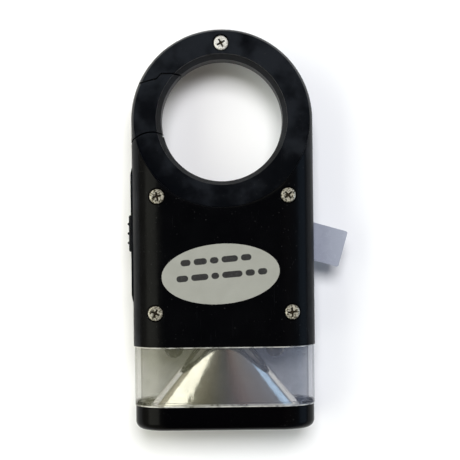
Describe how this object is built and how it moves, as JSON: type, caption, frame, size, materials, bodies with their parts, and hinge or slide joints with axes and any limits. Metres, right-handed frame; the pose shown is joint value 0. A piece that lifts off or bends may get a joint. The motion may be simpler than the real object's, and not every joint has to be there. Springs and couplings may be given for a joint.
{
  "type": "clip-on lantern torch",
  "caption": "Small flat pocket torch with a sprung carabiner eye, a sliding side switch and a clear lantern band over a chromed cone at its base.",
  "frame": {"origin": "middle of the flat front face that the torch lies on, midway along the casing and across it", "axes": "+X across the casing away from the switch, +Y along it towards the carabiner eye, +Z out of the screwed rear face"},
  "size_m": [0.0574, 0.1032, 0.0211],
  "materials": {
    "black_abs": "fine satin moulded ABS, black",
    "black_gloss": "polished black ABS",
    "clear_plastic": "clear moulded acrylic",
    "led_epoxy": "water-clear epoxy",
    "mirror_plating": "vacuum metallised, slightly rippled",
    "plated_steel": "bright zinc or nickel plate",
    "spring_steel": "plain spring steel",
    "nickel_strip": "nickel-plated strip",
    "cell_steel": "nickel-plated cell can",
    "board": "green solder mask",
    "component": "dark resistor body",
    "switch_metal": "tinned switch frame",
    "switch_plastic": "black nylon",
    "white_plastic": "white moulded plastic",
    "pull_film": "translucent bluish polyester film",
    "label_paper": "coated label paper"
  },
  "bodies": {
    "casing": {"rear_shell": "black_abs", "front_shell": "black_abs", "gate_pivot_pin": "plated_steel", "gate_return_spring": "spring_steel", "slide_switch_housing": "switch_metal", "slide_switch_terminals": "plated_steel", "circuit_board": "board", "resistors": "component", "coin_cell_front": "cell_steel", "coin_cell_rear": "cell_steel", "positive_contact_strip": "nickel_strip", "negative_contact_spring": "nickel_strip", "led_leads": "plated_steel", "led_carrier_plate": "white_plastic", "reflector": "mirror_plating", "lantern_window": "clear_plastic", "base_cap": "black_gloss", "torch_lens": "clear_plastic", "casing_screws": "plated_steel", "ring_screw": "plated_steel", "rear_label": "label_paper", "lantern_led_left": "led_epoxy", "torch_led": "led_epoxy", "lantern_led_right": "led_epoxy"},
    "gate": {"carabiner_gate": "black_abs"},
    "switch_slider": {"switch_knob": "black_abs", "slide_switch_actuator": "switch_plastic"},
    "pull_tab": {"battery_pull_tab": "pull_film"}
  },
  "joints": [
    {"name": "gate_swing", "type": "hinge", "parent": "casing", "child": "gate", "pos_m": [-0.01789, 0.01789, 0.0105], "axis": [0, 0, -1], "range_deg": [0, 40], "stiffness_Nm_per_rad": 0.02, "springref_deg": -34.38, "deforming": ["gate_return_spring"]},
    {"name": "switch_slide", "type": "slide", "parent": "casing", "child": "switch_slider", "axis": [0, -1, 0], "range_m": [0, 0.00475]},
    {"name": "pull_tab_slide", "type": "slide", "parent": "casing", "child": "pull_tab", "axis": [0.9613, -0.2756, 0], "range_m": [0, 0.025]}
  ]
}
